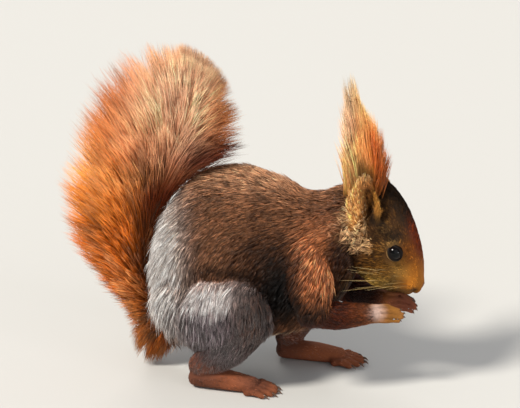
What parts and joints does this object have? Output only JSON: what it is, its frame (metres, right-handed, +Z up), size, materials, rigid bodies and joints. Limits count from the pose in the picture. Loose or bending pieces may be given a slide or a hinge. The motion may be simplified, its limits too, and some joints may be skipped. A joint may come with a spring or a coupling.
{
  "type": "red squirrel figure",
  "caption": "Life-size red squirrel sitting up on its hind feet, hands at its mouth, tufted ears, bushy tail raised behind its back.",
  "frame": {"origin": "middle of the base of the bounding box, on the floor the squirrel sits on", "axes": "+X the way the squirrel faces, +Y its left side, +Z up"},
  "size_m": [0.2084, 0.079, 0.1878],
  "materials": {
    "brown_coat": "short thick dark brown fur",
    "grey_brown_coat": "short grey brown fur with a pale sheen",
    "rust_coat": "rust red fur",
    "tail_coat": "long orange brown hair",
    "ochre_coat": "very short ochre brown fur",
    "bare_skin": "bare pinkish skin with fine hair",
    "eye": "wet black"
  },
  "bodies": {
    "root": {"head": "ochre_coat", "neck": "brown_coat", "trunk": "brown_coat", "tail_base": "tail_coat", "tail_middle": "tail_coat", "tail_tip": "tail_coat", "upper_arm_right": "rust_coat", "forearm_right": "rust_coat", "hand_right": "bare_skin", "thigh_right": "grey_brown_coat", "shank_right": "grey_brown_coat", "foot_right": "rust_coat", "ear_right": "ochre_coat", "ear_tuft_right": "rust_coat", "eye_right": "eye", "upper_arm_left": "rust_coat", "forearm_left": "rust_coat", "hand_left": "bare_skin", "thigh_left": "grey_brown_coat", "shank_left": "grey_brown_coat", "foot_left": "rust_coat", "ear_left": "ochre_coat", "ear_tuft_left": "rust_coat", "eye_left": "eye"}
  },
  "joints": []
}
